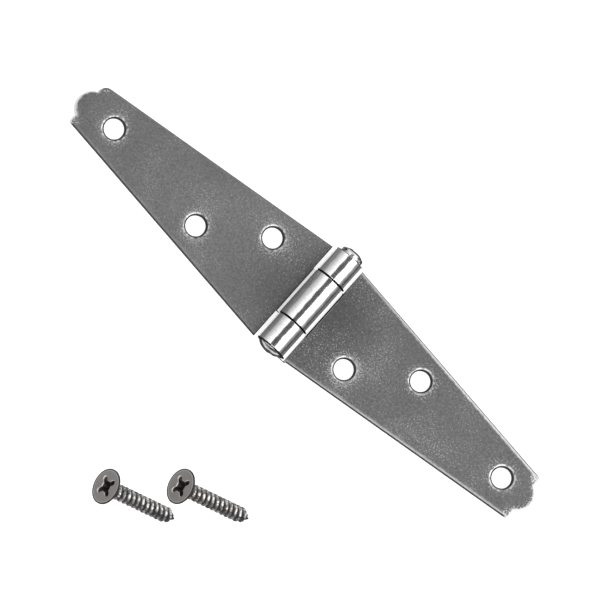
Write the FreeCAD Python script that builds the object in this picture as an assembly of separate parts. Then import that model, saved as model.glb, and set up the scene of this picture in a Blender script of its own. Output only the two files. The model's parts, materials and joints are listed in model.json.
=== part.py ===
"""Light strap hinge with a fixed pin, open and flat, with two of its screws loose beside it.

Frame, in millimetres: +X runs along the hinge towards the leaf with two knuckles, +Y runs along
the pin, +Z points away from the surface that the hinge is screwed to. The origin is on that
surface, right under the middle of the pin.
"""
import FreeCAD, Part
import math
import os

Vector = FreeCAD.Vector

# Sheet and barrel
SHEET = 1.9              # 14 gauge steel
PIN_DIA = 4.76           # 3/16 in wire
PIN_PLAY = 0.09          # between the pin and the inside of each knuckle
BARREL_LENGTH = 30.2     # the joint width, 1 3/16 in
MIDDLE_KNUCKLE = 14.3    # from seam to seam
MIDDLE_SHIFT = 0.4       # the middle knuckle sits this far towards the made head
SEAM = 0.18              # gap between two knuckles
CURL_GAP = 0.12          # between the end of each curl and its own leaf
KNUCKLE_ROUND = 0.3      # on the outside edge of each knuckle's ends

PIN_RADIUS = PIN_DIA / 2
BORE_RADIUS = PIN_RADIUS + PIN_PLAY
BARREL_RADIUS = BORE_RADIUS + SHEET
PIN_HEIGHT = BARREL_RADIUS

# Leaf outline, measured along the leaf from the pin's axis
NOTCH = 4.95             # to the edge that faces the other leaf's knuckles
HALF_WIDTH_AT_NOTCH = 14.94
TAPER = 0.123            # loss of half width per millimetre of length
LEAF_SHIFT = 0.15        # the flat part sits this far to the left of the middle of the barrel
EDGE_ROUND = 0.45        # the front edge, drawn down by the blanking die

# Ends of the leaves: square shoulders with a round lobe standing out between them. "left" is the
# side towards +Y on a leaf that points along +X. Each side gives the shoulder's distance from the
# pin, the rounding of its corner and the place across the leaf where the lobe starts.
TIP_ONE_KNUCKLE = {
    "apex": 77.3,
    "left": {"shoulder": 75.05, "corner": 0.5, "lobe": 4.1},
    "right": {"shoulder": 74.65, "corner": 2.5, "lobe": 3.9},
}
TIP_TWO_KNUCKLES = {
    "apex": 75.25,
    "left": {"shoulder": 72.7, "corner": 0.9, "lobe": 4.0},
    "right": {"shoulder": 73.05, "corner": 0.5, "lobe": 3.8},
}

# Screw holes: the places are along and across a leaf
HOLES = ((65.4, 0.34), (34.04, 4.58), (17.63, -6.23))
HOLE_RADIUS = 2.64
HOLE_RIM_ROUND = 0.7     # the rounded rim on the front face

# Pin heads
HEAD_GAP = 0.06          # between a head and the end of the barrel
MADE_HEAD_DIA = 6.5
MADE_HEAD_SIDE = 1.15
MADE_HEAD_DOME = 0.9
PEENED_HEAD_DIA = 7.4
PEENED_HEAD_SIDE = 0.2
PEENED_HEAD_DOME = 1.1

# Screws: No. 8 by 1 in, flat head, cross recess, threaded from head to point
SCREW_LENGTH = 25.4
SCREW_HEAD_DIA = 9.3
SCREW_HEAD_LAND = 0.3    # the cylindrical rim of the head
SCREW_HEAD_HEIGHT = 3.0
THREAD_DIA = 4.17
CORE_DIA = 3.1
THREAD_PITCH = 1.69      # 15 to the inch
THREAD_CREST = 0.16      # width of the ridge at its top
THREAD_ROOT = 1.0        # width of the ridge at its foot
THREAD_SINK = 0.12       # how far the ridge's foot sits inside the core
THREAD_RUNOUT = 0.5      # how far the thread climbs into the head's cone
THREAD_TURN = 37.0       # where the thread starts, in degrees round the screw
FIRST_THREAD_RADIUS = 1.0
POINT_LENGTH = 3.2
RECESS_WING = 3.05       # from the axis to the end of each wing, at the face
RECESS_WING_FOOT = 1.5   # and at its foot
RECESS_WIDTH = 1.45
RECESS_WIDTH_FOOT = 0.85
RECESS_DEPTH = 2.1
RECESS_CORE = 1.6        # radius of the round middle, at the face
RECESS_CORE_FOOT = 0.6
RECESS_CORE_DEPTH = 2.5

THREAD_DEPTH = (THREAD_DIA - CORE_DIA) / 2 + THREAD_SINK

# Where the screws stand, leaning on their points: the point of each, and the way they lean
SCREW_POINTS = {"screw_1": (11.0, -62.65), "screw_2": (24.87, -50.1)}
SCREW_TILT = 35.0        # degrees that the axis dips from the head to the point
SCREW_HEADING = 20.4     # degrees from +X
RECESS_TURN = 34.5       # degrees that the recess is turned about the screw's axis


def half_width(along):
    """Half the width of a leaf at a distance from the pin's axis."""
    return HALF_WIDTH_AT_NOTCH - TAPER * (along - NOTCH)


def line(a, b):
    return Part.makeLine(Vector(*a), Vector(*b))


def arc(a, b, c):
    return Part.Arc(Vector(*a), Vector(*b), Vector(*c)).toShape()


def prism(edges, direction):
    """A solid drawn out from a closed outline."""
    return Part.Face(Part.Wire(edges)).extrude(Vector(*direction))


def plate(tip):
    """The flat tapered part of a leaf, with its lobed end."""
    left, right = tip["left"], tip["right"]
    left_corner = (left["shoulder"], half_width(left["shoulder"]), 0)
    left_root = (left["shoulder"], left["lobe"], 0)
    right_root = (right["shoulder"], -right["lobe"], 0)
    right_corner = (right["shoulder"], -half_width(right["shoulder"]), 0)
    notch_left = (NOTCH, HALF_WIDTH_AT_NOTCH, 0)
    notch_right = (NOTCH, -HALF_WIDTH_AT_NOTCH, 0)
    outline = [
        line(notch_left, left_corner),
        line(left_corner, left_root),
        arc(left_root, (tip["apex"], 0, 0), right_root),
        line(right_root, right_corner),
        line(right_corner, notch_right),
        line(notch_right, notch_left),
    ]
    blank = prism(outline, (0, 0, SHEET))
    for corner, side in ((left_corner, left), (right_corner, right)):
        blank = blank.makeFillet(side["corner"], upright_edges(blank, corner))
    front = [e for e in blank.Edges if e.BoundBox.ZMin > SHEET - 0.001]
    blank = blank.makeFillet(EDGE_ROUND, front)
    blank.translate(Vector(0, LEAF_SHIFT, 0))
    return blank


def upright_edges(shape, place):
    """The straight edges that run through the sheet at a place in the outline."""
    return [
        e for e in shape.Edges
        if e.BoundBox.DiagonalLength < SHEET + 0.001
        and math.hypot(e.CenterOfMass.x - place[0], e.CenterOfMass.y - place[1]) < 0.01
    ]


def curl_end_angle():
    """How far round the pin the sheet is rolled, in radians from straight below the pin."""
    lowest = SHEET + CURL_GAP
    return 2 * math.pi - math.acos((PIN_HEIGHT - lowest) / BARREL_RADIUS)


def round_the_pin(radius, angle):
    """A point at an angle from straight below the pin, turning away from the leaf first."""
    return (-radius * math.sin(angle), 0, PIN_HEIGHT - radius * math.cos(angle))


def knuckle(y_from, y_to):
    """A strip of the leaf that runs under the pin, up its far side and over the top."""
    end = curl_end_angle()
    outline = [
        line((NOTCH + EDGE_ROUND, 0, 0), (0, 0, 0)),
        arc((0, 0, 0), round_the_pin(BARREL_RADIUS, end / 2), round_the_pin(BARREL_RADIUS, end)),
        line(round_the_pin(BARREL_RADIUS, end), round_the_pin(BORE_RADIUS, end)),
        arc(round_the_pin(BORE_RADIUS, end), round_the_pin(BORE_RADIUS, end / 2), (0, 0, SHEET)),
        line((0, 0, SHEET), (NOTCH + EDGE_ROUND, 0, SHEET)),
        line((NOTCH + EDGE_ROUND, 0, SHEET), (NOTCH + EDGE_ROUND, 0, 0)),
    ]
    strip = prism(outline, (0, y_to - y_from, 0))
    rolled = [
        e for e in strip.Edges
        if hasattr(e.Curve, "Radius") and abs(e.Curve.Radius - BARREL_RADIUS) < 0.001
    ]
    strip = strip.makeFillet(KNUCKLE_ROUND, rolled)
    strip.translate(Vector(0, y_from, 0))
    return strip


def screw_hole(along, across):
    """The tool that cuts a hole with a rounded rim on the front face."""
    wide = HOLE_RADIUS + HOLE_RIM_ROUND
    wall_top = SHEET - HOLE_RIM_ROUND
    slope = HOLE_RIM_ROUND * (1 - math.sqrt(0.5))
    half = [
        line((0, 0, -1), (HOLE_RADIUS, 0, -1)),
        line((HOLE_RADIUS, 0, -1), (HOLE_RADIUS, 0, wall_top)),
        arc((HOLE_RADIUS, 0, wall_top), (HOLE_RADIUS + slope, 0, SHEET - slope), (wide, 0, SHEET)),
        line((wide, 0, SHEET), (wide, 0, SHEET + 1)),
        line((wide, 0, SHEET + 1), (0, 0, SHEET + 1)),
        line((0, 0, SHEET + 1), (0, 0, -1)),
    ]
    tool = Part.Face(Part.Wire(half)).revolve(Vector(0, 0, 0), Vector(0, 0, 1), 360)
    tool.translate(Vector(along, across, 0))
    return tool


def leaf(tip, knuckle_spans):
    """A whole leaf, pointing towards +X."""
    body = plate(tip)
    body = body.fuse([knuckle(a, b) for a, b in knuckle_spans])
    body = body.cut([screw_hole(x, y) for x, y in HOLES])
    return body.removeSplitter()


def leaf_one_knuckle():
    reach = MIDDLE_KNUCKLE / 2 - SEAM / 2
    body = leaf(TIP_ONE_KNUCKLE, [(-reach - MIDDLE_SHIFT, reach - MIDDLE_SHIFT)])
    body.rotate(Vector(0, 0, 0), Vector(0, 0, 1), 180)
    return body


def leaf_two_knuckles():
    inner = MIDDLE_KNUCKLE / 2 + SEAM / 2
    outer = BARREL_LENGTH / 2
    spans = [(-outer, MIDDLE_SHIFT - inner), (MIDDLE_SHIFT + inner, outer)]
    return leaf(TIP_TWO_KNUCKLES, spans)


def hinge_pin():
    """The wire pin, with a made head at +Y and a head peened over at -Y."""
    near = BARREL_LENGTH / 2 + HEAD_GAP
    made_side = near + MADE_HEAD_SIDE
    peened_side = -near - PEENED_HEAD_SIDE
    made = MADE_HEAD_DIA / 2
    peened = PEENED_HEAD_DIA / 2
    half = [
        line((0, made_side + MADE_HEAD_DOME, 0), (0, peened_side - PEENED_HEAD_DOME, 0)),
        dome(peened, peened_side, -PEENED_HEAD_DOME),
        line((peened, peened_side, 0), (peened, -near, 0)),
        line((peened, -near, 0), (PIN_RADIUS, -near, 0)),
        line((PIN_RADIUS, -near, 0), (PIN_RADIUS, near, 0)),
        line((PIN_RADIUS, near, 0), (made, near, 0)),
        line((made, near, 0), (made, made_side, 0)),
        dome(made, made_side, MADE_HEAD_DOME),
    ]
    body = Part.Face(Part.Wire(half)).revolve(Vector(0, 0, 0), Vector(0, 1, 0), 360)
    body.translate(Vector(0, 0, PIN_HEIGHT))
    return body


def dome(radius, base, rise):
    """The arc of a low dome, from its rim to its top."""
    sphere = (radius**2 + rise**2) / (2 * abs(rise))
    lift = math.sqrt(sphere**2 - (radius / 2) ** 2) - (sphere - abs(rise))
    middle = (radius / 2, base + math.copysign(lift, rise), 0)
    return arc((radius, base, 0), middle, (0, base + rise, 0))


def screw_blank():
    """The screw's head, core and point, with its axis along -Z and its face at the origin."""
    head = SCREW_HEAD_DIA / 2
    core = CORE_DIA / 2
    taper = -SCREW_LENGTH + POINT_LENGTH
    half = [
        line((0, 0, 0), (head, 0, 0)),
        line((head, 0, 0), (head, 0, -SCREW_HEAD_LAND)),
        line((head, 0, -SCREW_HEAD_LAND), (core, 0, -SCREW_HEAD_HEIGHT)),
        line((core, 0, -SCREW_HEAD_HEIGHT), (core, 0, taper)),
        line((core, 0, taper), (0, 0, -SCREW_LENGTH)),
        line((0, 0, -SCREW_LENGTH), (0, 0, 0)),
    ]
    return Part.Face(Part.Wire(half)).revolve(Vector(0, 0, 0), Vector(0, 0, 1), 360)


def thread_ridge(start, length, radius, spread, turn):
    """A ridge wound upwards from a start height, on a cylinder or, with a spread, on a cone."""
    root = radius - THREAD_DEPTH
    helix = Part.makeLongHelix(THREAD_PITCH, length, radius, spread)
    helix.translate(Vector(0, 0, start))
    profile = Part.Wire([
        line((root, 0, start - THREAD_ROOT / 2), (radius, 0, start - THREAD_CREST / 2)),
        line((radius, 0, start - THREAD_CREST / 2), (radius, 0, start + THREAD_CREST / 2)),
        line((radius, 0, start + THREAD_CREST / 2), (root, 0, start + THREAD_ROOT / 2)),
        line((root, 0, start + THREAD_ROOT / 2), (root, 0, start - THREAD_ROOT / 2)),
    ])
    ridge = Part.Wire(helix.Edges).makePipeShell([profile], True, True)
    ridge.rotate(Vector(0, 0, 0), Vector(0, 0, 1), turn)
    return ridge


def thread():
    """The ridges of the shank and of the point, which follow on from each other."""
    outer = THREAD_DIA / 2
    spread = math.degrees(math.atan2(outer, POINT_LENGTH))
    shank_start = -SCREW_LENGTH + POINT_LENGTH
    point_start = -SCREW_LENGTH + POINT_LENGTH * FIRST_THREAD_RADIUS / outer
    point_length = shank_start - point_start
    shank_length = SCREW_LENGTH - POINT_LENGTH - SCREW_HEAD_HEIGHT + THREAD_RUNOUT
    turn = THREAD_TURN + 360 * point_length / THREAD_PITCH
    return [
        thread_ridge(point_start, point_length, FIRST_THREAD_RADIUS, spread, THREAD_TURN),
        thread_ridge(shank_start, shank_length, outer, 0, turn),
    ]


def cross_recess():
    """The tool that sinks the cross recess: two crossed slots that narrow round a tapered core."""
    deepest = Vector(0, 0, -RECESS_CORE_DEPTH)
    core = Part.makeCone(RECESS_CORE_FOOT, RECESS_CORE, RECESS_CORE_DEPTH, deepest)
    top = slot(RECESS_WING, RECESS_WIDTH, 0)
    foot = slot(RECESS_WING_FOOT, RECESS_WIDTH_FOOT, -RECESS_DEPTH)
    wings = []
    for turn in (0, 90):
        wing = Part.makeLoft([foot, top], True, True)
        wing.rotate(Vector(0, 0, 0), Vector(0, 0, 1), turn)
        wings.append(wing)
    return core.fuse(wings)


def slot(reach, width, z):
    """A long outline with round ends, which reaches this far from the axis both ways."""
    half = width / 2
    straight = reach - half
    return Part.Wire([
        line((-straight, -half, z), (straight, -half, z)),
        arc((straight, -half, z), (reach, 0, z), (straight, half, z)),
        line((straight, half, z), (-straight, half, z)),
        arc((-straight, half, z), (-reach, 0, z), (-straight, -half, z)),
    ])


def screw():
    """A screw that leans on its point, with the point at the origin."""
    recess = cross_recess()
    recess.rotate(Vector(0, 0, 0), Vector(0, 0, 1), RECESS_TURN)
    body = screw_blank().fuse(thread())
    body = body.removeSplitter().cut(recess)
    body.translate(Vector(0, 0, SCREW_LENGTH))
    body.rotate(Vector(0, 0, 0), Vector(0, 1, 0), SCREW_TILT - 90)
    body.rotate(Vector(0, 0, 0), Vector(0, 0, 1), SCREW_HEADING)
    return body


def screws():
    """The two loose screws, side by side."""
    one = screw()
    placed = {}
    for name, (x, y) in SCREW_POINTS.items():
        placed[name] = one.copy()
        placed[name].translate(Vector(x, y, 0))
    return placed


def main():
    os.makedirs("parts", exist_ok=True)
    nodes = {
        "leaf_one_knuckle": leaf_one_knuckle(),
        "leaf_two_knuckles": leaf_two_knuckles(),
        "hinge_pin": hinge_pin(),
        **screws(),
    }
    for name, shape in nodes.items():
        solid = shape.Solids[0]
        print(name, len(shape.Solids), "solid, valid", solid.isValid(), round(solid.Volume, 2), "mm3")
        solid.exportStep("parts/" + name + ".step")


main()
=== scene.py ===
"""Looks for the light strap hinge: camera, studio, zinc materials and the finer meshes."""
import json
import math

import bmesh
import bpy
from mathutils import Matrix, Vector, noise

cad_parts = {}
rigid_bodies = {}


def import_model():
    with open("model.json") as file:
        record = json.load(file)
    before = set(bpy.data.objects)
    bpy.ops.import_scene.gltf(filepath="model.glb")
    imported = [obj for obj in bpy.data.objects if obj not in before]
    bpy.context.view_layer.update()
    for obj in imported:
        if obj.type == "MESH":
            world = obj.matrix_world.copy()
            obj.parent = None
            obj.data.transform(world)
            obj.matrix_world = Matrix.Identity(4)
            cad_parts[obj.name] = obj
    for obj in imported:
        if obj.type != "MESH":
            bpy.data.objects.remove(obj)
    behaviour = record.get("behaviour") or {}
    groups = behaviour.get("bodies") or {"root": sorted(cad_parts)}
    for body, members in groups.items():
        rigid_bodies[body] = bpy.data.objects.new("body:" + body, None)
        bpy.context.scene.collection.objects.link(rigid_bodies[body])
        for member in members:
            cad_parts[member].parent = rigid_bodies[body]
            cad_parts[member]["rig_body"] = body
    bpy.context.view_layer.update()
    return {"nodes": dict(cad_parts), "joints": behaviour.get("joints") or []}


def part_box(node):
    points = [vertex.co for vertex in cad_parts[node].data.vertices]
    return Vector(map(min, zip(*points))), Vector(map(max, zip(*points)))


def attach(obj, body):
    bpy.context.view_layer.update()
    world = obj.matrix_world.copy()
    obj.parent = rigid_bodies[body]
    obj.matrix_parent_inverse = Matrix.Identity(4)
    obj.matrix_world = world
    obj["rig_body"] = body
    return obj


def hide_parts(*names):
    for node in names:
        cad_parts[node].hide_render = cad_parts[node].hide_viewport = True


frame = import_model()

MM = 0.001
WHITE = (1.0, 1.0, 1.0)

# The view: almost straight down on the open hinge, which lies aslant in the picture
TOWARDS_CAMERA = Vector((-0.078, -0.142, 0.987)).normalized()
HINGE_SLANT = math.radians(41.75)    # how far +X falls below the picture's horizontal
VIEW_WIDTH = 152.57 * MM
CAMERA_DISTANCE = 3.0
CAMERA_CLIP = (0.01, 20.0)
SENSOR = 36.0
AIM_LEFT_OF_PIN = 0.64 * MM    # the hinge's middle sits a little right of and above the picture's
AIM_BELOW_PIN = 0.247 * MM

# The studio: soft boxes in long strips parallel to the barrel. Each strip is (from, to, radiance),
# with the angles in degrees from straight up, towards +X. The left side fades towards the table.
STRIPS = (
    (11.0, 51.0, 2.4), (51.0, 60.0, 0.7), (60.0, 75.0, 0.2),
    (-36.0, -25.0, 1.5), (-50.0, -36.0, 1.05), (-60.0, -50.0, 0.8), (-70.0, -60.0, 0.62),
    (-80.0, -70.0, 0.48), (-88.0, -80.0, 0.36),
)
LIGHT_DISTANCE = 3.0
STRIP_LENGTH = 4.6

# Two smaller boxes off the ends of the barrel light the leaves' long edges
END_BOX_LEAN = math.radians(62.0)    # from straight up
END_BOX_SIZE = 1.6
END_BOX_RADIANCE = 2.2

# The table
TABLE_REACH = 3.0
TABLE_DROP = 0.02 * MM
TABLE_TONE = (0.6, 0.6, 0.6)
TABLE_GLOW = 0.85
TABLE_LIGHT = 0.3    # what matt zinc gets from a table that the zinc can't reflect

# The room, as (height, grey): the height is 1 straight overhead, 0 level and -1 straight down
ROOM = ((-1.0, 0.2), (-0.6, 0.2), (-0.1, 0.28), (0.05, 0.08), (0.9, 0.1))

# The hinge, from its design
PIN_HEIGHT = 4.37 * MM
BARREL_RADIUS = 4.37 * MM
SHEET = 1.9 * MM
HOLES = ((65.4, 0.34), (34.04, 4.58), (17.63, -6.23))    # millimetres along and across a leaf
NOTCH = 4.95 * MM
HALF_WIDTH = 14.94 * MM    # at the notch
TAPER = 0.123
TAPER_RUN = 100 * MM    # the length over which the taper is laid out
LEAF_SHIFT = 0.15 * MM    # to the left, seen along a leaf

# Which facets of a leaf are the outside of its barrel
SEEN_AS_BARREL = 0.25 * MM    # how near they are to the barrel's radius
FACES_OUT = 0.9               # the least cosine between their normal and straight outwards
BARREL_LOWEST = 0.3 * MM      # above the table

# The leaves: "tip" is where each ends and "speckled" how far the edge of the painted highlight on
# its tip strays, in millimetres. The rest go from 0 to 1: "tone" scales the grey of the face,
# "rim_tone" is the grey of the rim, lightened as a painted highlight, "worn" adds flecks near the
# tip,
# "tip_highlight_matt" is how matt the painted highlight on the tip is, and the shines are the
# painted highlights along the long edges.
LEAVES = {
    "leaf_one_knuckle": {
        "tip": -77.3, "tone": 1.0, "worn": 0.12, "rim_tone": 0.35,
        "left_shine": 0.12, "right_shine": 0.0, "speckled": 0.5, "tip_highlight_matt": 0.0,
    },
    "leaf_two_knuckles": {
        "tip": 75.25, "tone": 0.82, "worn": 0.22, "rim_tone": 0.7,
        "left_shine": 1.0, "right_shine": 0.5, "speckled": 2.0, "tip_highlight_matt": 0.8,
    },
}

# The noises in the looks, as (cells to the metre, detail)
NOISES = {
    "grain": (1700, 3), "clouds": (70, 3), "patches": (1200, 3), "specks": (3000, 1),
    "flecks": (2600, 1), "uneven rim": (1500, 2),
    "drawn lines": (1100, 1), "rolled waves": (340, 1), "rolled tone": (1800, 2),
    "hammer marks": (650, 2), "head gloss": (600, 2),
    "screw patches": (1100, 2), "screw grain": (2000, 3), "screw gloss": (500, 2),
    "face relief": (1400, 2), "face gloss": (300, 2), "recess gloss": (900, 2),
}

# Where the marks on a leaf lie, in millimetres. Each pair is where a mark starts and where it is
# full. First, from the middle of a hole:
HIGHLIGHT_RING = (3.6, 3.4)      # a patchy painted highlight on the hole's rounded rim
SHADOW_RING = (3.1, 3.0)    # the dark rim inside it
FLECK_RING = (5.4, 3.6)     # more flecks round the hole
# Back from the tip:
NEAR_TIP = (5.5, 4.0)
# Where the rim and sides of the tip get a painted highlight:
AT_TIP = (3.4, 2.6)
LOBE_MIDDLE = 4.5           # the middle of the tip's round lobe
# Out from the middle of the lobe:
WORN = (3.4, 5.2)
# Where the painted highlight along the tip's outline lies:
TIP_HIGHLIGHT = (3.85, 4.15)
TIP_HIGHLIGHT_UP_TO = (4.9, 4.7)
# In from a long edge, and along the leaf, where the painted highlight of the long edge lies:
EDGE_SHINE = (0.95, 0.5)
EDGE_SHINE_STRAYS = 0.35
EDGE_SHINE_GROWS = (8.0, 34.0)
EDGE_SHINE_LEAST = 0.45     # of its full strength, near the barrel
# Out from the middle of the barrel, where the dimming of the leaves is full and where it ends:
BARREL_SHADE = (9.0, 22.0)
BARREL_SHADE_TONE = 0.68    # what is left of the tone where it is full
# Along the leaf, the painted highlight at the foot of the curl and the painted shade on the sides
# of the notch:
FOOT = (4.85, 4.75)
NOTCH_SIDES = (5.4, 5.1)
# The top of the foot's painted highlight, above the sheet's face, and its bottom, above the table:
FOOT_TOP = (0.3, 0.1)
FOOT_BOTTOM = (0.5, 0.8)

# How level a leaf's surface is where its rounded front rim and its sheared sides start and where
# they are full
RIM = (0.985, 0.95)
SHEARED = (0.93, 0.86)
LEVEL_STRAYS = 0.03

# The levels of noise at which patches and flecks start and are full
PATCHES = (0.42, 0.55)
FLECKS = (0.82, 0.94)
CLOUDS_IN_FLECKS = 0.4    # how much clouds and the rings round the holes add to the flecks
RING_IN_FLECKS = 0.13

# The tones of a leaf, from 0 for black to 1 for white, and how rough it is. A pair goes with a
# noise from its low to its high.
CLOUDS = (0.2, 0.25)
GRAIN = (0.5, 1.5)    # times the clouds
FLECK_TONE = 0.45
WORN_FLECK_TONE = 0.8
# The next three are painted highlights: along the long edges, at the tips and round the holes, and
# on the rim, the foot of the curl and the barrel's flanks
SHINE_TONE = 0.8
PAINTED_HIGHLIGHT_TONE = 0.7
BRIGHT_TONE = 0.9
# The sides: dark partly as bare sheared metal and partly as painted shade, a painted highlight on
# the tip's sides and painted shade on the notch's sides:
SIDE_TONES = (0.12, 0.22)
TIP_SIDE_TONE = 0.8
NOTCH_SIDE_TONE = 0.03
# Painted shadow inside the holes' rims and on their walls:
SHADOW_TONE = 0.025
HOLE_WALL_TONE = 0.12
MATT_METALLIC = 0.1
SHEET_ROUGHNESS = (0.34, 0.44)
RIM_ROUGHNESS = 0.5
SIDE_ROUGHNESS = 0.65
SHEET_RELIEF = 0.012 * MM

# The rolled barrel. Its flanks carry a matt, glowing painted reflection of the white table where
# the normal's X passes FLANK and its Z passes FLANK_LOWEST. The offset lets the white reach higher
# on the side towards +X.
FLANK = (0.87, 0.9)
FLANK_OFFSET = 0.07
FLANK_LOWEST = (-0.16, -0.08)
BARREL_TONES = (0.7, 0.95)
BARREL_ROUGHNESS = (0.1, 0.24)
FLANK_ROUGHNESS = 0.6
LINES_STRETCHED = (0.3, 1, 0.3)    # the cells of noise are longer where this is smaller
LINES_DEPTH = 0.04                 # times that of the waves
BARREL_RELIEF = 0.12 * MM

# The pin, from its design
PIN_RADIUS = 2.38 * MM
HEADS_START = 15.16 * MM    # along the pin, either way from its middle
MADE_HEAD = {"radius": 3.25 * MM, "dome": 0.9 * MM, "shift": 0.0}
PEENED_HEAD = {"radius": 3.5 * MM, "dome": 1.1 * MM, "shift": -0.2 * MM}
HEAD_CHAMFER = 0.08 * MM
ROUND = 96
DOME_STEPS = 14
DOME_POWER = 2.6    # how late the dome falls away towards its foot
DOME_FLAT = 0.02    # the flat at its end, as a part of the head's radius
DOME_WIDENS = 0.96    # and how much wider its foot is

# How the hammer left the heads
BLOWS_ROUND = 3
BLOWS_SPIRAL = 2.2 / MM    # radians, for each metre out from the middle
BLOW_DEPTH = 0.16 * MM
BLOW_FADES = 1.2 * MM    # inside this radius
DENT_ROUND = 1.3
DENT_LENGTH = 2 * MM
DENT_DEPTH = 0.03    # as a part of the radius

# The looks of the heads. Between two levels of noise, MARKS, the tone goes through MARK_TONES, and
# between MARK_METAL the metallic share goes through MARK_METALLIC.
MARKS_SLANT = math.radians(25)
MARKS_STRETCHED = (0.3, 1.2, 1)
MARKS = (0.42, 0.5)
MARK_TONES = (0.15, 0.95)
MARK_METAL = (0.5, 0.56)
MARK_METALLIC = (1.0, 0.4)
HEAD_LOW_SIDE = (0.32, 0.16)    # painted shade where a head's normal has a Z below this
# Where painted shade starts and is full, in millimetres. Its edge strays with the marks.
SHADE_STRAYS = 0.3
MADE_SHADE = (0.85, 0.7)        # back from the made end
MADE_SHADE_RING = (1.4, 1.8)    # out from the middle of the made end
PEENED_SHADE = (1.9, 1.6)       # above the middle of the pin
PEENED_END = (-14.0, -15.0)     # along the pin
SHADE_TONES = (0.01, 0.07)
SHADE_ROUGHNESS = 0.9
HEAD_ROUGHNESS = (0.18, 0.34)
HEAD_RELIEF = 0.1 * MM

# The screws, from their design
SCREW_HEAD_LAND = 0.32 * MM
SCREW_FACE_DEPTH = 0.05 * MM    # points this near the top lie on the rim of the face
FACE_LOWEST = 0.02 * MM         # and facets with their middles this near it are the face
RECESS_REACH = 3.3 * MM
RECESS_DEPTH = 2.6 * MM
OVERHANG = -0.01    # the steepest that a wall of the recess leans inwards
CORE_RADIUS = 1.55 * MM
HOLLOW_DEPTH = 0.3 * MM

# The looks of the screws
THREAD_PATCHES = (0.42, 0.58)
THREAD_TONES = (0.25, 1.0)
# Painted shade in the thread's hollows:
HOLLOW_TONE = 0.12
THREAD_TINT = (1.0, 0.97, 0.95)
THREAD_METALLIC = 0.8
THREAD_ROUGHNESS = (0.12, 0.22)
FACE_TONES = (0.26, 0.33)
# A painted highlight just inside the head's edge, and painted shade on the edge itself:
FACE_LINE = (4.0, 4.15)     # millimetres out from the screw's axis
FACE_LINE_TONE = 0.5
FACE_EDGE = (4.25, 4.35)
FACE_EDGE_TONE = 0.05
FACE_TINT = (1.0, 0.955, 0.925)
FACE_METALLIC = 0.3
FACE_ROUGHNESS = (0.36, 0.48)
SCREW_RELIEF = 0.006 * MM
RECESS_HIGHLIGHT = (0.3, 0.2)    # millimetres below the face: a painted highlight along the top of the recess's walls
RECESS_HIGHLIGHT_TONE = 0.9
# Painted shade on the recess's walls:
RECESS_TONES = (0.03, 0.05)
RECESS_TINT = (1.0, 0.93, 0.9)
RECESS_METALLIC = 0.2
RECESS_ROUGHNESS = (0.4, 0.5)


class Look:
    """A material, and short ways to add nodes to it."""

    def __init__(self, name):
        self.material = bpy.data.materials.new(name)
        self.material.use_nodes = True
        self.tree = self.material.node_tree
        self.shader = self.tree.nodes["Principled BSDF"]
        self.where = self.add("TexCoord").outputs

    def put(self, socket, value):
        """Links a socket into this one, or sets it to a value."""
        if isinstance(value, bpy.types.NodeSocket):
            self.tree.links.new(value, socket)
        elif isinstance(value, tuple) and len(value) == 3 and socket.type == "RGBA":
            socket.default_value = value + (1,)
        else:
            socket.default_value = value

    def add(self, kind, **inputs):
        node = self.tree.nodes.new("ShaderNode" + kind)
        for name, value in inputs.items():
            self.put(node.inputs[name.replace("_", " ")], value)
        return node

    def set(self, **inputs):
        for name, value in inputs.items():
            self.put(self.shader.inputs[name.replace("_", " ")], value)

    def split(self, kind):
        """X, Y and Z of each place on the piece ("Object") or of the way it faces ("Normal")."""
        return self.add("SeparateXYZ", Vector=self.where[kind]).outputs

    def noise(self, kind, stretched=(1, 1, 1), turned=(0, 0, 0)):
        """One of the NOISES, in the piece's own space."""
        cells, detail = NOISES[kind]
        place = self.add("Mapping", Vector=self.where["Object"], Scale=stretched, Rotation=turned)
        texture = self.add("TexNoise", Vector=place.outputs[0], Scale=cells, Detail=detail)
        return texture.outputs["Fac"]

    def distance(self, point):
        """How far each place on the piece is from a point of the piece's own space."""
        away = self.add("VectorMath", Vector=self.where["Object"])
        away.operation = "DISTANCE"
        away.inputs[1].default_value = point
        return away.outputs["Value"]

    def attribute(self, name):
        """A number that the mesh carries at each of its points."""
        node = self.add("Attribute")
        node.attribute_name = name
        return node.outputs["Fac"]

    def stretch(self, value, first, last, low=0.0, high=1.0):
        """Goes from low to high as value goes from first to last, and stops there."""
        node = self.add("MapRange")
        node.clamp = True
        for name, number in zip(("Value", "From Min", "From Max", "To Min", "To Max"),
                                (value, first, last, low, high)):
            self.put(node.inputs[name], number)
        return node.outputs[0]

    def span(self, value, ends, low=0.0, high=1.0):
        """Stretches between two ends given in millimetres."""
        return self.stretch(value, ends[0] * MM, ends[1] * MM, low, high)

    def between(self, amount, low, high):
        """Goes from low to high as amount goes from 0 to 1."""
        return self.stretch(amount, 0.0, 1.0, low, high)

    def stray(self, amount, reach):
        """Goes from minus to plus a reach in millimetres as amount goes from 0 to 1."""
        return self.between(amount, -reach * MM, reach * MM)

    def maths(self, operation, a, b=0.0):
        node = self.add("Math")
        node.operation = operation
        self.put(node.inputs[0], a)
        self.put(node.inputs[1], b)
        return node.outputs[0]

    def plus(self, a, b):
        return self.maths("ADD", a, b)

    def times(self, a, b):
        return self.maths("MULTIPLY", a, b)

    def larger(self, a, b):
        return self.maths("MAXIMUM", a, b)

    def glow(self, where):
        """Gives matt zinc the light of the table."""
        self.set(Emission_Color=WHITE, Emission_Strength=self.times(where, TABLE_LIGHT))

    def bump(self, height, depth, strength):
        """Small relief this deep, in metres."""
        node = self.add("Bump", Height=height, Distance=depth, Strength=strength)
        self.set(Normal=node.outputs[0])

    def tinted(self, tone, tint):
        """A grey tone with a tint laid over it."""
        node = self.add("MixRGB", Fac=1.0, Color1=tone, Color2=tint)
        node.blend_type = "MULTIPLY"
        return node.outputs[0]


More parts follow.
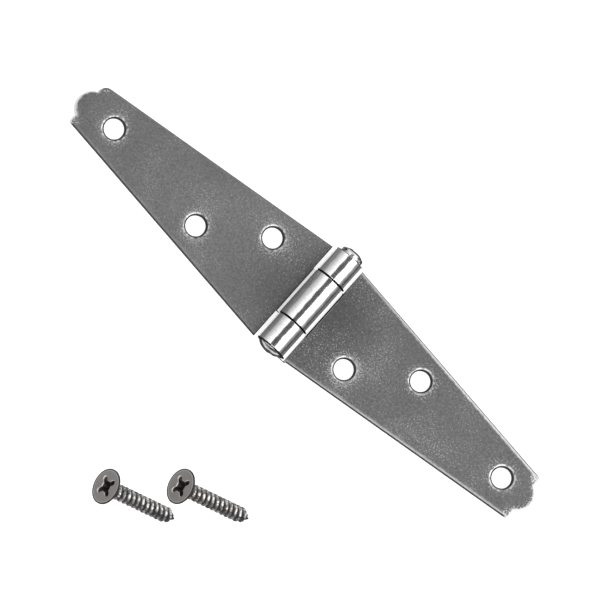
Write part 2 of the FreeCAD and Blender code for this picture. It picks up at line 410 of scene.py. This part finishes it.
def sheet_look(name, leaf):
    """The flat of a leaf: dull flecked zinc, a front rim with a painted highlight, and sheared
    sides that are dark partly as bare metal and partly as painted shade.
    """
    look = Look(name)
    grain, cloud = look.noise("grain"), look.noise("clouds")
    patches, specks = look.noise("patches"), look.noise("specks")
    place, facing = look.split("Object"), look.split("Normal")
    side = math.copysign(1, leaf["tip"])
    along = look.times(place["X"], side)
    left = look.times(place["Y"], side)
    from_tip = look.maths("SUBTRACT", abs(leaf["tip"]) * MM, along)

    # Round the holes: a painted shadow inside each hole's rim, then a patchy painted highlight,
    # then flecks
    rim_highlight = look.times(round_the_holes(look, side, HIGHLIGHT_RING), look.stretch(patches, *PATCHES))
    shadow = round_the_holes(look, side, SHADOW_RING)
    flecked = round_the_holes(look, side, FLECK_RING)

    # The end of the leaf gets a painted highlight along its outline, rim and sides, and more
    # flecks near it
    lobe_place = (side * (abs(leaf["tip"]) - LOBE_MIDDLE) * MM, side * LEAF_SHIFT, SHEET)
    lobe = look.distance(lobe_place)
    at_tip = look.span(from_tip, AT_TIP)
    worn = look.times(look.span(lobe, WORN), look.span(from_tip, NEAR_TIP))
    tip_highlight = look.span(look.plus(lobe, look.stray(specks, leaf["speckled"])), TIP_HIGHLIGHT)
    tip_highlight = look.times(tip_highlight, at_tip)
    tip_highlight = look.times(tip_highlight, look.span(lobe, TIP_HIGHLIGHT_UP_TO))

    # The face
    shine = edge_shine(look, leaf, along, left, patches)
    extra = look.plus(look.times(worn, leaf["worn"]), look.times(flecked, RING_IN_FLECKS))
    flecks = look.plus(look.noise("flecks"), look.times(cloud, CLOUDS_IN_FLECKS))
    flecks = look.stretch(look.plus(flecks, extra), *FLECKS)
    full = leaf["tone"]
    dim = look.span(look.distance((0, 0, SHEET)), BARREL_SHADE, BARREL_SHADE_TONE * full, full)
    face = look.times(look.between(grain, *GRAIN), look.between(cloud, *CLOUDS))
    face = look.times(face, dim)
    face = look.between(flecks, face, look.between(worn, FLECK_TONE, WORN_FLECK_TONE))
    face = look.between(shine, face, SHINE_TONE)
    face = look.between(look.larger(tip_highlight, rim_highlight), face, PAINTED_HIGHLIGHT_TONE)

    # The rounded front rim gets a painted highlight, and the foot of the curl a glowing painted
    # reflection of the table
    level = look.maths("ABSOLUTE", facing["Z"])
    level = look.plus(level, look.between(look.noise("uneven rim"), -LEVEL_STRAYS, LEVEL_STRAYS))
    above = look.maths("SUBTRACT", place["Z"], SHEET)
    low = look.times(look.span(above, FOOT_TOP), look.span(place["Z"], FOOT_BOTTOM))
    curl = look.times(look.span(along, FOOT), low)
    rim = look.stretch(level, *RIM)
    rim_tone = look.between(look.larger(at_tip, rim_highlight), leaf["rim_tone"], BRIGHT_TONE)
    tone = look.between(rim, face, rim_tone)
    tone = look.between(curl, tone, BRIGHT_TONE)

    # The sides were sheared. Their dark tone is partly bare sheared metal and partly painted
    # shade; the tip's sides get a painted highlight and the notch's sides painted shade
    sheared = look.stretch(level, *SHEARED)
    side_tone = look.between(at_tip, look.between(grain, *SIDE_TONES), TIP_SIDE_TONE)
    side_tone = look.between(look.span(along, NOTCH_SIDES), side_tone, NOTCH_SIDE_TONE)
    tone = look.between(sheared, tone, side_tone)

    hole_tone = look.between(sheared, SHADOW_TONE, HOLE_WALL_TONE)
    look.set(Base_Color=look.between(shadow, tone, hole_tone))
    foot = look.times(curl, look.between(sheared, 1.0, 0.0))
    matt_painted_light = look.larger(foot, look.times(sheared, at_tip))
    matt_painted_light = look.larger(matt_painted_light, look.times(tip_highlight, leaf["tip_highlight_matt"]))
    look.set(Metallic=look.between(matt_painted_light, 1.0, MATT_METALLIC))
    look.glow(foot)
    roughness = look.between(rim, look.between(cloud, *SHEET_ROUGHNESS), RIM_ROUGHNESS)
    look.set(Roughness=look.between(sheared, roughness, SIDE_ROUGHNESS))
    look.bump(grain, SHEET_RELIEF, strength=0.5)
    return look.material


def round_the_holes(look, side, ring):
    """0 outside a ring round each hole of a leaf, and 1 inside it."""
    marked = 0.0
    for along, left in HOLES:
        away = look.distance((side * along * MM, side * left * MM, SHEET))
        marked = look.larger(marked, look.span(away, ring))
    return marked


def edge_shine(look, leaf, along, left, patches):
    """How bright a painted highlight follows the long edges of a leaf."""
    narrow = HALF_WIDTH - TAPER * TAPER_RUN
    width = look.stretch(along, NOTCH, NOTCH + TAPER_RUN, HALF_WIDTH, narrow)
    shine = 0.0
    for way, strength in ((1, leaf["left_shine"]), (-1, leaf["right_shine"])):
        inward = look.maths("SUBTRACT", width, look.times(left, way))
        inward = look.plus(inward, way * LEAF_SHIFT)
        inward = look.plus(inward, look.stray(patches, EDGE_SHINE_STRAYS))
        shine = look.larger(shine, look.span(inward, EDGE_SHINE, 0.0, strength))
    return look.times(shine, look.span(along, EDGE_SHINE_GROWS, EDGE_SHINE_LEAST, 1.0))


def barrel_look(name, both_flanks):
    """The rolled knuckles: the same sheet drawn smooth, with a matt, glowing painted reflection of
    the white table on one or both flanks.
    """
    look = Look(name)
    lines = look.noise("drawn lines", LINES_STRETCHED)
    waves = look.noise("rolled waves")
    facing = look.split("Normal")
    slope = look.plus(facing["X"], FLANK_OFFSET)
    if both_flanks:
        slope = look.maths("ABSOLUTE", slope)
    matt_painted_light = look.times(look.stretch(slope, *FLANK), look.stretch(facing["Z"], *FLANK_LOWEST))
    bright = look.between(look.noise("rolled tone"), *BARREL_TONES)
    look.set(Base_Color=look.between(matt_painted_light, bright, BRIGHT_TONE))
    look.set(Metallic=look.between(matt_painted_light, 1.0, 0.0))
    roughness = look.between(waves, *BARREL_ROUGHNESS)
    look.set(Roughness=look.between(matt_painted_light, roughness, FLANK_ROUGHNESS))
    look.glow(matt_painted_light)
    look.bump(look.plus(look.times(lines, LINES_DEPTH), waves), BARREL_RELIEF, strength=0.8)
    return look.material


def head_look(name, made_end):
    """The ends of the pin: beaten wire, matt white between dark slanting marks. Painted shade
    darkens the rim round the made end, the low part of the peened head and where a head faces
    sideways or down."""
    look = Look(name)
    marks = look.noise("hammer marks", MARKS_STRETCHED, (0, 0, MARKS_SLANT))
    below = look.stretch(look.split("Normal")["Z"], *HEAD_LOW_SIDE)
    place = look.split("Object")
    uneven = look.stray(marks, SHADE_STRAYS)
    from_end = look.maths("SUBTRACT", made_end, look.plus(place["Y"], uneven))
    made = look.span(from_end, MADE_SHADE)
    made_middle = look.distance((0, made_end, PIN_HEIGHT))
    made = look.times(made, look.span(made_middle, MADE_SHADE_RING))
    height = look.maths("SUBTRACT", look.plus(place["Z"], uneven), PIN_HEIGHT)
    peened = look.span(height, PEENED_SHADE)
    peened = look.times(peened, look.span(place["Y"], PEENED_END))
    dark = look.larger(below, look.larger(made, peened))
    tone = look.stretch(marks, *MARKS, *MARK_TONES)
    look.set(Base_Color=look.between(dark, tone, look.between(marks, *SHADE_TONES)))
    metallic = look.stretch(marks, *MARK_METAL, *MARK_METALLIC)
    look.set(Metallic=look.between(dark, metallic, 0.0))
    roughness = look.between(look.noise("head gloss"), *HEAD_ROUGHNESS)
    look.set(Roughness=look.between(dark, roughness, SHADE_ROUGHNESS))
    look.bump(marks, HEAD_RELIEF, strength=0.6)
    return look.material


def screw_look(name):
    """The thread and the cone of a screw: patchy grey nickel, with painted shade in the hollows.
    """
    look = Look(name)
    patches = look.stretch(look.noise("screw patches"), *THREAD_PATCHES, *THREAD_TONES)
    tone = look.between(look.attribute("hollow"), patches, HOLLOW_TONE)
    look.set(Base_Color=look.tinted(tone, THREAD_TINT), Metallic=THREAD_METALLIC)
    look.set(Roughness=look.between(look.noise("screw gloss"), *THREAD_ROUGHNESS))
    look.bump(look.noise("screw grain"), SCREW_RELIEF, strength=0.5)
    return look.material


def screw_face_look(name, head):
    """The flat of a screw's head: dull warm grey, with a painted highlight line inside an edge of
    painted shade.
    """
    look = Look(name)
    aside = look.distance(head)
    tone = look.between(look.noise("screw grain"), *FACE_TONES)
    tone = look.between(look.span(aside, FACE_LINE), tone, FACE_LINE_TONE)
    tone = look.between(look.span(aside, FACE_EDGE), tone, FACE_EDGE_TONE)
    look.set(Base_Color=look.tinted(tone, FACE_TINT), Metallic=FACE_METALLIC)
    look.set(Roughness=look.between(look.noise("face gloss"), *FACE_ROUGHNESS))
    look.bump(look.noise("face relief"), SCREW_RELIEF, strength=0.5)
    return look.material


def recess_look(name):
    """The walls of the cross recess: painted shade, with a painted highlight at the top."""
    look = Look(name)
    rim_highlight = look.span(look.attribute("sunk"), RECESS_HIGHLIGHT)
    walls = look.between(look.noise("screw grain"), *RECESS_TONES)
    tone = look.between(rim_highlight, walls, RECESS_HIGHLIGHT_TONE)
    look.set(Base_Color=look.tinted(tone, RECESS_TINT), Metallic=RECESS_METALLIC)
    look.set(Roughness=look.between(look.noise("recess gloss"), *RECESS_ROUGHNESS))
    return look.material


def set_up_camera():
    data = bpy.data.cameras.new("camera")
    camera = bpy.data.objects.new("camera", data)
    bpy.context.collection.objects.link(camera)
    up_hint = Vector((-math.sin(HINGE_SLANT), math.cos(HINGE_SLANT), 0))
    right = up_hint.cross(TOWARDS_CAMERA).normalized()
    up = TOWARDS_CAMERA.cross(right)
    turn = Matrix((right, up, TOWARDS_CAMERA)).transposed()
    place = TOWARDS_CAMERA * CAMERA_DISTANCE - right * AIM_LEFT_OF_PIN - up * AIM_BELOW_PIN
    camera.matrix_world = Matrix.Translation(place) @ turn.to_4x4()
    data.sensor_width = SENSOR
    data.lens = SENSOR * CAMERA_DISTANCE / VIEW_WIDTH
    data.clip_start, data.clip_end = CAMERA_CLIP
    bpy.context.scene.camera = camera


def area_light(name, size, radiance, away, sideways):
    """An area light of this size that faces the hinge from LIGHT_DISTANCE away."""
    data = bpy.data.lights.new(name, "AREA")
    data.shape = "RECTANGLE"
    data.size, data.size_y = size
    data.energy = radiance * math.pi * data.size * data.size_y
    light = bpy.data.objects.new(name, data)
    bpy.context.collection.objects.link(light)
    turn = Matrix((sideways, away.cross(sideways), away)).transposed().to_4x4()
    light.matrix_world = Matrix.Translation(away * LIGHT_DISTANCE) @ turn


def strip_light(name, first, last, radiance):
    """A long light, parallel to the barrel, that fills a range of angles from straight up."""
    first, last = math.radians(first), math.radians(last)
    middle = (first + last) / 2
    width = 2 * LIGHT_DISTANCE * math.tan((last - first) / 2)
    away = Vector((math.sin(middle), 0, math.cos(middle)))
    sideways = Vector((0, 1, 0)).cross(away)
    area_light(name, (width, STRIP_LENGTH), radiance, away, sideways)


def end_box(name, side):
    """A square soft box beyond one end of the barrel."""
    away = Vector((0, side * math.sin(END_BOX_LEAN), math.cos(END_BOX_LEAN)))
    size = (END_BOX_SIZE, END_BOX_SIZE)
    area_light(name, size, END_BOX_RADIANCE, away, Vector((1, 0, 0)))


def set_up_room():
    """A dim room round the table, for the zinc to reflect. It is lighter below the table."""
    world = bpy.data.worlds.new("room")
    bpy.context.scene.world = world
    world.use_nodes = True
    nodes, links = world.node_tree.nodes, world.node_tree.links
    where = nodes.new("ShaderNodeTexCoord")
    split = nodes.new("ShaderNodeSeparateXYZ")
    height = nodes.new("ShaderNodeMapRange")
    height.inputs["From Min"].default_value = -1.0
    shades = nodes.new("ShaderNodeValToRGB")
    links.new(where.outputs["Generated"], split.inputs[0])
    links.new(split.outputs["Z"], height.inputs["Value"])
    links.new(height.outputs[0], shades.inputs[0])
    links.new(shades.outputs[0], nodes["Background"].inputs["Color"])
    stops = shades.color_ramp.elements
    for index, (level, grey) in enumerate(ROOM):
        place = (level + 1) / 2
        stop = stops[index] if index < 2 else stops.new(place)
        stop.position = place
        stop.color = (grey, grey, grey, 1)


def floor():
    """A plain white table that glows a little, as wide as any view needs."""
    mesh = bpy.data.meshes.new("floor")
    signs = ((-1, -1), (1, -1), (1, 1), (-1, 1))
    corners = [(x * TABLE_REACH, y * TABLE_REACH, 0) for x, y in signs]
    mesh.from_pydata(corners, [], [(0, 1, 2, 3)])
    table = bpy.data.objects.new("floor", mesh)
    bpy.context.collection.objects.link(table)
    look = Look("white_table")
    look.set(Base_Color=TABLE_TONE, Roughness=0.9, Specular_IOR_Level=0.0)
    look.set(Emission_Color=WHITE, Emission_Strength=TABLE_GLOW)
    mesh.materials.append(look.material)
    table.location.z = -TABLE_DROP
    table.visible_glossy = False    # the zinc reflects the dim room instead of a glowing table


def show(piece, node):
    """This piece stands for the CAD node and rides on its body."""
    bpy.context.collection.objects.link(piece)
    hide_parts(node)
    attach(piece, frame["nodes"][node]["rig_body"])


def finer_copy(node, name, materials, choose):
    """A copy of a CAD node in which choose(middle, normal) picks the material of each facet."""
    mesh = frame["nodes"][node].data.copy()
    mesh.name = name
    mesh.materials.clear()
    for material in materials:
        mesh.materials.append(material)
    for facet in mesh.polygons:
        facet.material_index = choose(facet.center, facet.normal)
    return bpy.data.objects.new(name, mesh)


def on_the_barrel(middle, normal):
    """1 on the outside of the rolled knuckles, and 0 on the rest of a leaf."""
    out = Vector((middle.x, 0, middle.z - PIN_HEIGHT))
    near = abs(out.length - BARREL_RADIUS) < SEEN_AS_BARREL
    return int(near and normal.dot(out.normalized()) > FACES_OUT and middle.z > BARREL_LOWEST)


def leaves():
    for node, leaf in LEAVES.items():
        flat = sheet_look(node + "_zinc", leaf)
        rolled = barrel_look(node + "_rolled", both_flanks=leaf["tip"] > 0)
        piece = finer_copy(node, node + "_seen", (flat, rolled), on_the_barrel)
        show(piece, node)


def pin():
    """The pin, whose heads are spun and hammered over, so that no side of them is quite round."""
    low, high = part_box("hinge_pin")
    made = head_rings(MADE_HEAD, high.y, HEADS_START)
    peened = head_rings(PEENED_HEAD, low.y, -HEADS_START)
    shank = [(side * HEADS_START, PIN_RADIUS, 0.0, 0.0) for side in (1, -1)]
    mesh = bpy.data.meshes.new("hinge_pin_seen")
    build = bmesh.new()
    loops = [ring_of_points(build, *ring) for ring in made + shank + peened[::-1]]
    for upper, lower in zip(loops, loops[1:]):
        for step in range(ROUND):
            after = (step + 1) % ROUND
            build.faces.new((upper[step], lower[step], lower[after], upper[after]))
    build.faces.new(loops[0][::-1])
    build.faces.new(loops[-1])
    bmesh.ops.recalc_face_normals(build, faces=build.faces)
    build.to_mesh(mesh)
    build.free()
    mesh.shade_smooth()
    mesh.materials.append(head_look("beaten_zinc", high.y))
    show(bpy.data.objects.new("hinge_pin_seen", mesh), "hinge_pin")


def head_rings(head, end, start):
    """A head as rings, from its end inwards. Each is (place along the pin, radius, sideways
    shift, unevenness)."""
    way = math.copysign(1, end)
    brow = end - way * head["dome"]
    radius, shift = head["radius"], head["shift"]
    rings = []
    for step in range(1, DOME_STEPS + 1):
        part = step / DOME_STEPS
        rise = head["dome"] * (1 - part ** DOME_POWER)
        wide = radius * (DOME_FLAT + DOME_WIDENS * part)
        rings.append((brow + way * rise, wide, shift, 1 - part))
    rings.append((brow - way * HEAD_CHAMFER, radius, shift, 0.0))
    rings.append((start + way * HEAD_CHAMFER, radius, shift, 0.0))
    rings.append((start, radius - HEAD_CHAMFER, shift, 0.0))
    return rings


def ring_of_points(build, place, radius, shift, uneven):
    """One ring of the pin. Hammer blows run round a dome in a loose spiral and flatten it."""
    points = []
    for step in range(ROUND):
        turn = 2 * math.pi * step / ROUND
        x, z = math.cos(turn), math.sin(turn)
        dent = noise.noise(Vector((x * DENT_ROUND, place / DENT_LENGTH, z * DENT_ROUND)))
        blow = math.sin(BLOWS_ROUND * turn + BLOWS_SPIRAL * radius)
        reach = radius
        if abs(place) > HEADS_START:
            reach -= radius * DENT_DEPTH * (1 + dent)
        sink = BLOW_DEPTH * (1 + blow) * uneven * min(1, radius / BLOW_FADES)
        along = place - math.copysign(sink, place)
        points.append(build.verts.new((shift + x * reach, along, PIN_HEIGHT + z * reach)))
    return points


def screws():
    thread, recess = screw_look("screw_nickel"), recess_look("recess_shade")
    axes = {joint["child"]: Vector(joint["axis"]).normalized() for joint in frame["joints"]}
    for node in ("screw_1", "screw_2"):
        mesh = frame["nodes"][node].data
        up = axes["loose_" + node]
        top = max(point.co.dot(up) for point in mesh.vertices)
        rim = [point.co for point in mesh.vertices if top - point.co.dot(up) < SCREW_FACE_DEPTH]
        head = sum(rim, Vector()) / len(rim)
        looks = (thread, screw_face_look(node + "_face", head), recess)
        piece = finer_copy(node, node + "_seen", looks, parts_of_a_screw(up, head))
        mark_depths(piece.data, up, head)
        show(piece, node)


def parts_of_a_screw(up, head):
    """A chooser: 0 on the thread and cone, 1 on the head's face and rim, 2 inside the recess."""
    def choose(middle, normal):
        down, aside = screw_place(middle, up, head)
        if down < FACE_LOWEST:
            return 1
        if down < RECESS_DEPTH and aside < RECESS_REACH and normal.dot(up) > OVERHANG:
            return 2
        return int(down < SCREW_HEAD_LAND)
    return choose


def screw_place(point, up, head):
    """How far a point is down from a screw's face, and how far aside from its axis."""
    down = (head - point).dot(up)
    return down, (point - head + up * down).length


def mark_depths(mesh, up, head):
    """Gives each point its depth below the head's face, and how deep it lies in the thread."""
    sunk = mesh.attributes.new("sunk", "FLOAT", "POINT")
    hollow = mesh.attributes.new("hollow", "FLOAT", "POINT")
    for index, point in enumerate(mesh.vertices):
        down, aside = screw_place(point.co, up, head)
        sunk.data[index].value = down
        hollow.data[index].value = min(1.0, max(0.0, 1 - (aside - CORE_RADIUS) / HOLLOW_DEPTH))


def main():
    set_up_camera()
    for number, strip in enumerate(STRIPS):
        strip_light(f"strip_{number}", *strip)
    end_box("made_end_box", 1)
    end_box("peened_end_box", -1)
    set_up_room()
    floor()
    leaves()
    pin()
    screws()
    bpy.context.scene.view_settings.view_transform = "Standard"


main()
